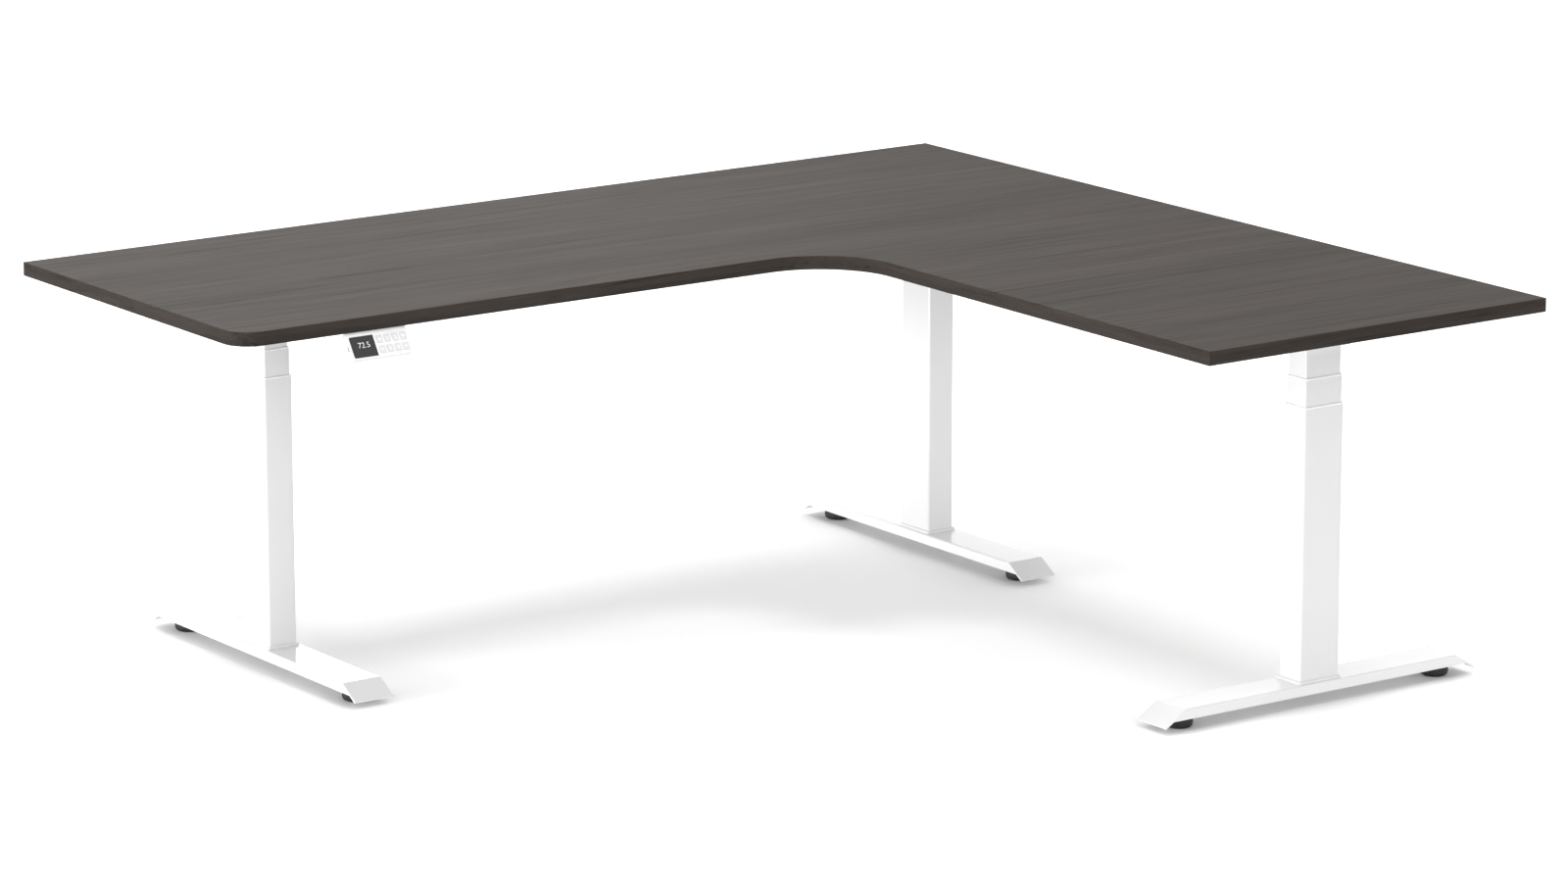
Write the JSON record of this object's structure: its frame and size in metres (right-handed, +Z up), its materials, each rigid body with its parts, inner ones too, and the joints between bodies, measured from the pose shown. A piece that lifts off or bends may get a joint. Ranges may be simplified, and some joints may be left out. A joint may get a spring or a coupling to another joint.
{
  "type": "standing desk",
  "caption": "Motorised height adjustable corner desk: L-shaped top on three telescopic columns with long feet, under-top frame, control box and a tilted keypad.",
  "frame": {"origin": "middle of the footprint's bounding box, on the floor under the glides", "axes": "+X along the long back edge towards the return wing, +Y from the end of the return wing towards the back edge, +Z up"},
  "size_m": [2, 1.8, 0.7],
  "materials": {
    "desktop": "dark grey laminate with a fine straight grain, satin",
    "edge_band": "satin",
    "white_coat": "white powder coat, semi-gloss",
    "white_collar": "satin",
    "black_housing": "fine texture",
    "motor_can": "satin black",
    "steel": "machined",
    "glide": "satin",
    "lead": "smooth sheath",
    "handset": "satin white",
    "lens": "polished dark window with white digits",
    "keys": "satin white"
  },
  "bodies": {
    "base": {"left_foot": "white_coat", "left_outer_tube": "white_coat", "corner_foot": "white_coat", "corner_outer_tube": "white_coat", "return_foot": "white_coat", "return_outer_tube": "white_coat", "outer_collars": "white_collar", "base_nuts": "steel", "foot_bolts": "steel"},
    "top": {"desktop_panel": "desktop", "edge_band": "edge_band", "main_rails": "white_coat", "return_rails": "white_coat", "left_inner_tube": "white_coat", "left_bracket": "white_coat", "left_gearbox": "black_housing", "left_motor": "motor_can", "corner_inner_tube": "white_coat", "corner_bracket": "white_coat", "corner_gearbox": "black_housing", "corner_motor": "motor_can", "return_inner_tube": "white_coat", "return_bracket": "white_coat", "return_gearbox": "black_housing", "return_motor": "motor_can", "frame_screws": "steel", "control_box_base": "black_housing", "control_box_lid": "black_housing", "power_inlet": "black_housing", "under_desk_leads": "lead", "lead_clips": "lead", "handset_housing": "handset", "handset_lens": "lens", "charge_port": "black_housing"},
    "left_middle_stage": {"left_middle_tube": "white_coat", "left_middle_collar": "white_collar"},
    "left_upper_screw": {"left_upper_screw": "steel"},
    "left_lower_screw": {"left_lower_screw": "steel"},
    "left_glide_a": {"left_glide_a": "glide"},
    "left_glide_b": {"left_glide_b": "glide"},
    "corner_middle_stage": {"corner_middle_tube": "white_coat", "corner_middle_collar": "white_collar"},
    "corner_upper_screw": {"corner_upper_screw": "steel"},
    "corner_lower_screw": {"corner_lower_screw": "steel"},
    "corner_glide_a": {"corner_glide_a": "glide"},
    "corner_glide_b": {"corner_glide_b": "glide"},
    "return_middle_stage": {"return_middle_tube": "white_coat", "return_middle_collar": "white_collar"},
    "return_upper_screw": {"return_upper_screw": "steel"},
    "return_lower_screw": {"return_lower_screw": "steel"},
    "return_glide_a": {"return_glide_a": "glide"},
    "return_glide_b": {"return_glide_b": "glide"},
    "key_1": {"key_1": "keys"},
    "key_2": {"key_2": "keys"},
    "key_3": {"key_3": "keys"},
    "key_4": {"key_4": "keys"},
    "key_5": {"key_5": "keys"},
    "key_6": {"key_6": "keys"},
    "key_7": {"key_7": "keys"},
    "key_8": {"key_8": "keys"}
  },
  "joints": [
    {"name": "desk_lift", "type": "slide", "parent": "base", "child": "top", "axis": [0, 0, 1], "range_m": [-0.1, 0.55]},
    {"name": "left_middle_slide", "type": "slide", "parent": "base", "child": "left_middle_stage", "axis": [0, 0, 1], "range_m": [-0.05, 0.275]},
    {"name": "left_upper_spindle", "type": "hinge", "parent": "top", "child": "left_upper_screw", "pos_m": [-0.728, 0.525, 0.4], "axis": [0, 0, 1], "range_deg": [-4500, 24750]},
    {"name": "left_lower_spindle", "type": "hinge", "parent": "left_middle_stage", "child": "left_lower_screw", "pos_m": [-0.728, 0.525, 0.3], "axis": [0, 0, 1], "range_deg": [-2250, 12375]},
    {"name": "glide_left_a", "type": "slide", "parent": "base", "child": "left_glide_a", "axis": [0, 0, -1], "range_m": [0, 0.008]},
    {"name": "glide_left_b", "type": "slide", "parent": "base", "child": "left_glide_b", "axis": [0, 0, -1], "range_m": [0, 0.008]},
    {"name": "corner_middle_slide", "type": "slide", "parent": "base", "child": "corner_middle_stage", "axis": [0, 0, 1], "range_m": [-0.05, 0.275]},
    {"name": "corner_upper_spindle", "type": "hinge", "parent": "top", "child": "corner_upper_screw", "pos_m": [0.728, 0.525, 0.4], "axis": [0, 0, 1], "range_deg": [-4500, 24750]},
    {"name": "corner_lower_spindle", "type": "hinge", "parent": "corner_middle_stage", "child": "corner_lower_screw", "pos_m": [0.728, 0.525, 0.3], "axis": [0, 0, 1], "range_deg": [-2250, 12375]},
    {"name": "glide_corner_a", "type": "slide", "parent": "base", "child": "corner_glide_a", "axis": [0, 0, -1], "range_m": [0, 0.008]},
    {"name": "glide_corner_b", "type": "slide", "parent": "base", "child": "corner_glide_b", "axis": [0, 0, -1], "range_m": [0, 0.008]},
    {"name": "return_middle_slide", "type": "slide", "parent": "base", "child": "return_middle_stage", "axis": [0, 0, 1], "range_m": [-0.05, 0.275]},
    {"name": "return_upper_spindle", "type": "hinge", "parent": "top", "child": "return_upper_screw", "pos_m": [0.625, -0.728, 0.4], "axis": [0, 0, 1], "range_deg": [-4500, 24750]},
    {"name": "return_lower_spindle", "type": "hinge", "parent": "return_middle_stage", "child": "return_lower_screw", "pos_m": [0.625, -0.728, 0.3], "axis": [0, 0, 1], "range_deg": [-2250, 12375]},
    {"name": "glide_return_a", "type": "slide", "parent": "base", "child": "return_glide_a", "axis": [0, 0, -1], "range_m": [0, 0.008]},
    {"name": "glide_return_b", "type": "slide", "parent": "base", "child": "return_glide_b", "axis": [0, 0, -1], "range_m": [0, 0.008]},
    {"name": "key_1_press", "type": "slide", "parent": "top", "child": "key_1", "axis": [0, 0.8387, -0.5446], "range_m": [0, 0.001], "stiffness_N_per_m": 400, "springref_m": -0.001},
    {"name": "key_2_press", "type": "slide", "parent": "top", "child": "key_2", "axis": [0, 0.8387, -0.5446], "range_m": [0, 0.001], "stiffness_N_per_m": 400, "springref_m": -0.001},
    {"name": "key_3_press", "type": "slide", "parent": "top", "child": "key_3", "axis": [0, 0.8387, -0.5446], "range_m": [0, 0.001], "stiffness_N_per_m": 400, "springref_m": -0.001},
    {"name": "key_4_press", "type": "slide", "parent": "top", "child": "key_4", "axis": [0, 0.8387, -0.5446], "range_m": [0, 0.001], "stiffness_N_per_m": 400, "springref_m": -0.001},
    {"name": "key_5_press", "type": "slide", "parent": "top", "child": "key_5", "axis": [0, 0.8387, -0.5446], "range_m": [0, 0.001], "stiffness_N_per_m": 400, "springref_m": -0.001},
    {"name": "key_6_press", "type": "slide", "parent": "top", "child": "key_6", "axis": [0, 0.8387, -0.5446], "range_m": [0, 0.001], "stiffness_N_per_m": 400, "springref_m": -0.001},
    {"name": "key_7_press", "type": "slide", "parent": "top", "child": "key_7", "axis": [0, 0.8387, -0.5446], "range_m": [0, 0.001], "stiffness_N_per_m": 400, "springref_m": -0.001},
    {"name": "key_8_press", "type": "slide", "parent": "top", "child": "key_8", "axis": [0, 0.8387, -0.5446], "range_m": [0, 0.001], "stiffness_N_per_m": 400, "springref_m": -0.001}
  ],
  "couplings": [
    {"joint": "left_middle_slide", "follows": "desk_lift", "ratio": 0.5},
    {"joint": "left_upper_spindle", "follows": "desk_lift", "rad_per_m": 785.4},
    {"joint": "left_lower_spindle", "follows": "desk_lift", "rad_per_m": 392.7},
    {"joint": "corner_middle_slide", "follows": "desk_lift", "ratio": 0.5},
    {"joint": "corner_upper_spindle", "follows": "desk_lift", "rad_per_m": 785.4},
    {"joint": "corner_lower_spindle", "follows": "desk_lift", "rad_per_m": 392.7},
    {"joint": "return_middle_slide", "follows": "desk_lift", "ratio": 0.5},
    {"joint": "return_upper_spindle", "follows": "desk_lift", "rad_per_m": 785.4},
    {"joint": "return_lower_spindle", "follows": "desk_lift", "rad_per_m": 392.7}
  ]
}
